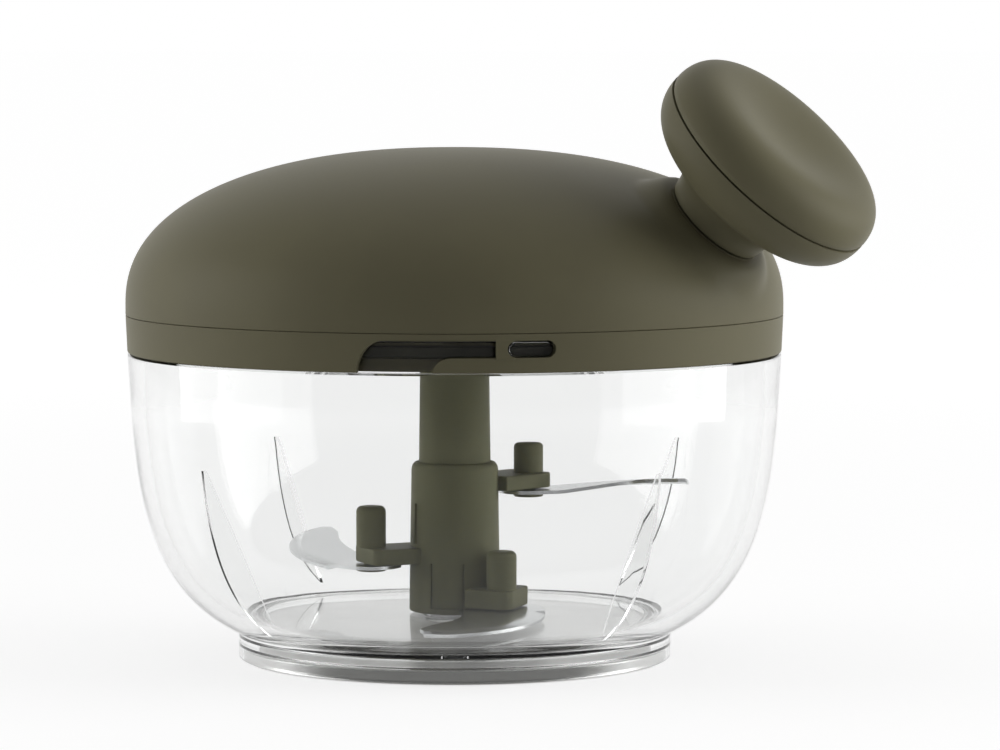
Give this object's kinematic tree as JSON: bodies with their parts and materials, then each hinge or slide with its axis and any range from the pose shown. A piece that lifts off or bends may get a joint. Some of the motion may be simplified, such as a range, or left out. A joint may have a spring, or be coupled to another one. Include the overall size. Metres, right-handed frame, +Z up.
{
  "type": "food chopper",
  "caption": "Small hand food chopper: clear bowl, domed twist-on lid with a mushroom pull knob on a cord, which spins a rotor of staggered curved blades.",
  "frame": {"origin": "centre of the non-slip pad's underside, on the bowl's axis, where the chopper stands", "axes": "+Z up the bowl's axis; +X towards the side that the pull knob leans to; -Z out of the foot"},
  "size_m": [0.1531, 0.13, 0.1189],
  "materials": {
    "clear_plastic": "clear, polished",
    "clear_silicone": "translucent, matt",
    "grey_silicone": "matt",
    "olive_plastic": "fine satin",
    "white_plastic": "smooth",
    "steel": "bright",
    "blade_steel": "fine satin, ground edge",
    "cord": "braided polyester"
  },
  "bodies": {
    "bowl": {"bowl": "clear_plastic", "non_slip_pad": "clear_silicone", "pivot_pin": "steel"},
    "seal": {"lid_seal": "grey_silicone"},
    "lid": {"lid_base": "olive_plastic", "dome_cover": "olive_plastic", "dome_screw_1": "steel", "dome_screw_2": "steel", "dome_screw_3": "steel", "cord_eyelet": "steel", "bearing_bush": "white_plastic", "return_spring": "steel", "spring_cover": "olive_plastic", "cover_screw_1": "steel", "cover_screw_2": "steel", "cover_screw_3": "steel", "reel_axle": "steel", "pull_cord_run": "cord"},
    "knob": {"knob_back": "olive_plastic", "knob_cap": "olive_plastic", "cord_knot": "cord", "pull_cord_lead": "cord"},
    "reel": {"reel": "white_plastic", "cord_winding": "cord"},
    "rotor": {"drive_tube": "olive_plastic", "clutch_spring": "steel", "blade_hub": "olive_plastic", "pivot_bush": "white_plastic", "blade_low": "blade_steel", "blade_pin_low": "olive_plastic", "blade_mid": "blade_steel", "blade_pin_mid": "olive_plastic", "blade_high": "blade_steel", "blade_pin_high": "olive_plastic"},
    "clutch": {"clutch_dog": "white_plastic"}
  },
  "joints": [
    {"name": "lid_lift", "type": "slide", "parent": "bowl", "child": "seal", "axis": [0, 0, 1], "range_m": [0, 0.08]},
    {"name": "lid_turn", "type": "hinge", "parent": "seal", "child": "lid", "pos_m": [0, 0, 0.065], "axis": [0, 0, 1], "range_deg": [0, 21.5]},
    {"name": "knob_pull", "type": "slide", "parent": "lid", "child": "knob", "axis": [0.7071, 0, 0.7071], "range_m": [0, 0.32], "stiffness_N_per_m": 20, "springref_m": -0.1},
    {"name": "reel_spin", "type": "hinge", "parent": "lid", "child": "reel", "pos_m": [0, 0, 0.084], "axis": [0, 0, 1], "range_deg": [0, 927]},
    {"name": "blade_spin", "type": "hinge", "parent": "lid", "child": "rotor", "pos_m": [0, 0, 0.04], "axis": [0, 0, 1], "range_deg": [0, 927]},
    {"name": "clutch_slide", "type": "slide", "parent": "rotor", "child": "clutch", "axis": [0, 0, 1], "range_m": [-0.0017, 0], "stiffness_N_per_m": 300, "springref_m": 0.002, "deforming": ["clutch_spring"]}
  ],
  "couplings": [
    {"joint": "reel_spin", "follows": "knob_pull", "rad_per_m": 50.505},
    {"joint": "blade_spin", "follows": "knob_pull", "rad_per_m": 50.505}
  ]
}
